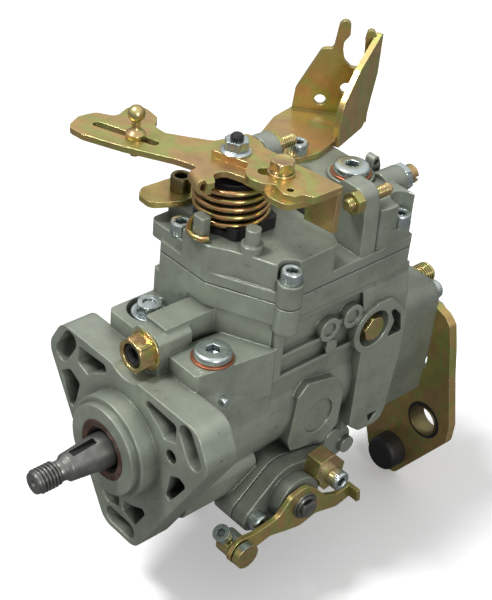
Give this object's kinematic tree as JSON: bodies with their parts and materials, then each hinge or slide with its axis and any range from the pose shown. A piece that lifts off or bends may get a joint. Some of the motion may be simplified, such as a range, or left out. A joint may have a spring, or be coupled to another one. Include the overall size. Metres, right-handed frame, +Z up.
{
  "type": "diesel injection pump",
  "caption": "Rotary diesel injection pump: slotted triangular flange, taper shaft, governor cover with sprung control lever, cold start lever, cable bracket.",
  "frame": {"origin": "centre of the drive shaft at the front face of the mounting flange", "axes": "-Y along the shaft out of the drive end, +Y towards the fuel outlets, +Z up to the control lever, +X the flank with the cold start lever"},
  "size_m": [0.139, 0.2415, 0.2433],
  "materials": {
    "cast_aluminium": "rough cast",
    "cast_cover": "rough cast",
    "head_casting": "blasted",
    "gasket": "fibre",
    "zinc_steel": "zinc plated",
    "gold_zinc": "yellow passivated",
    "gold_sheet": "yellow passivated",
    "copper": "annealed copper",
    "bronze": "bearing bronze",
    "seal_rubber": "brown rubber",
    "black_rubber": "moulded",
    "black_plastic": "moulded",
    "black_steel": "phosphated",
    "spring_copper": "lacquered spring wire",
    "spring_steel": "oiled spring wire",
    "ground_steel": "ground",
    "dark_cover": "dark die casting"
  },
  "bodies": {
    "pump": {"housing": "cast_aluminium", "cover_gasket": "gasket", "governor_cover": "cast_cover", "cover_screws": "zinc_steel", "shaft_seal": "seal_rubber", "shaft_bush": "bronze", "inlet_fitting": "gold_zinc", "sealing_washers": "copper", "pressure_valve": "zinc_steel", "plugs": "zinc_steel", "pivot_screws": "gold_zinc", "distributor_head": "head_casting", "head_screws": "zinc_steel", "outlet_holders": "gold_zinc", "centre_plug": "zinc_steel", "rear_bracket": "gold_sheet", "sleeves": "zinc_steel", "rubber_buffer": "black_rubber", "cable_bracket": "gold_sheet", "support_plate": "gold_sheet", "adjusting_screws": "gold_zinc", "locknuts": "gold_zinc", "spring_guide": "black_plastic", "return_spring": "spring_copper", "advance_gasket": "gasket", "advance_cover": "dark_cover", "advance_stop_block": "gold_zinc", "device_screws": "zinc_steel", "timing_cap": "dark_cover", "timing_spring": "spring_steel", "eccentric_ring": "ground_steel", "pump_cover": "ground_steel", "spring_bridge": "ground_steel", "plunger_springs": "spring_steel", "governor_shaft": "ground_steel", "governor_spring": "spring_steel"},
    "drive": {"drive_shaft": "ground_steel", "vane_rotor": "ground_steel", "vanes": "ground_steel", "drive_gear": "ground_steel", "cross_disc": "ground_steel", "cam_plate": "ground_steel", "plunger": "ground_steel"},
    "governor": {"flyweight_carrier": "ground_steel", "flyweights": "ground_steel"},
    "sleeve": {"sliding_sleeve": "ground_steel"},
    "governor_arm": {"governor_lever": "ground_steel"},
    "collar": {"control_collar": "ground_steel"},
    "control": {"control_shaft": "black_steel", "control_lever": "gold_sheet", "stop_plate": "gold_sheet", "lever_bolt": "gold_zinc", "shaft_nut": "zinc_steel", "ball_stud": "gold_zinc"},
    "advance": {"advance_shaft": "ground_steel", "advance_lever": "gold_sheet"},
    "clamp": {"clamp_pin": "zinc_steel"},
    "timing": {"timing_piston": "ground_steel"},
    "rollers": {"roller_ring": "ground_steel"}
  },
  "joints": [
    {"name": "shaft_spin", "type": "hinge", "parent": "pump", "child": "drive", "pos_m": [0, 0, 0], "axis": [0, 1, 0], "continuous": true},
    {"name": "governor_spin", "type": "hinge", "parent": "pump", "child": "governor", "pos_m": [0, 0.05, 0.044], "axis": [0, 1, 0], "continuous": true},
    {"name": "governor_arm_swing", "type": "hinge", "parent": "pump", "child": "governor_arm", "pos_m": [0, 0.1214, 0.0325], "axis": [1, 0, 0], "range_deg": [-6.4, 6.4], "deforming": ["governor_spring"]},
    {"name": "sleeve_slide", "type": "slide", "parent": "pump", "child": "sleeve", "axis": [0, 1, 0], "range_m": [-0.0012, 0.0012]},
    {"name": "collar_slide", "type": "slide", "parent": "pump", "child": "collar", "axis": [0, 1, 0], "range_m": [-0.0026, 0.0026]},
    {"name": "control_swing", "type": "hinge", "parent": "pump", "child": "control", "pos_m": [-0.012, 0.066, 0.117], "axis": [0, 0, 1], "range_deg": [0, 20], "stiffness_Nm_per_rad": 0.6, "springref_deg": -40.11, "deforming": ["return_spring"]},
    {"name": "advance_swing", "type": "hinge", "parent": "pump", "child": "advance", "pos_m": [0.05, 0.0685, -0.0385], "axis": [1, 0, 0], "range_deg": [-18, 0], "stiffness_Nm_per_rad": 0.3, "springref_deg": 28.65},
    {"name": "clamp_swivel", "type": "hinge", "parent": "advance", "child": "clamp", "pos_m": [0.05, 0.029, -0.0455], "axis": [1, 0, 0], "range_deg": [-30, 30]},
    {"name": "timing_slide", "type": "slide", "parent": "pump", "child": "timing", "axis": [1, 0, 0], "range_m": [-0.005, 0], "stiffness_N_per_m": 4000, "springref_m": 0.003, "deforming": ["timing_spring"]},
    {"name": "roller_ring_turn", "type": "hinge", "parent": "pump", "child": "rollers", "pos_m": [0, 0.07, 0], "axis": [0, 1, 0], "range_deg": [-8, 8]}
  ],
  "couplings": [
    {"joint": "governor_spin", "follows": "shaft_spin", "ratio": -1.5},
    {"joint": "governor_arm_swing", "follows": "sleeve_slide", "rad_per_m": -86.957},
    {"joint": "collar_slide", "follows": "sleeve_slide", "ratio": -1.9913},
    {"joint": "roller_ring_turn", "follows": "timing_slide", "rad_per_m": -25.974}
  ]
}
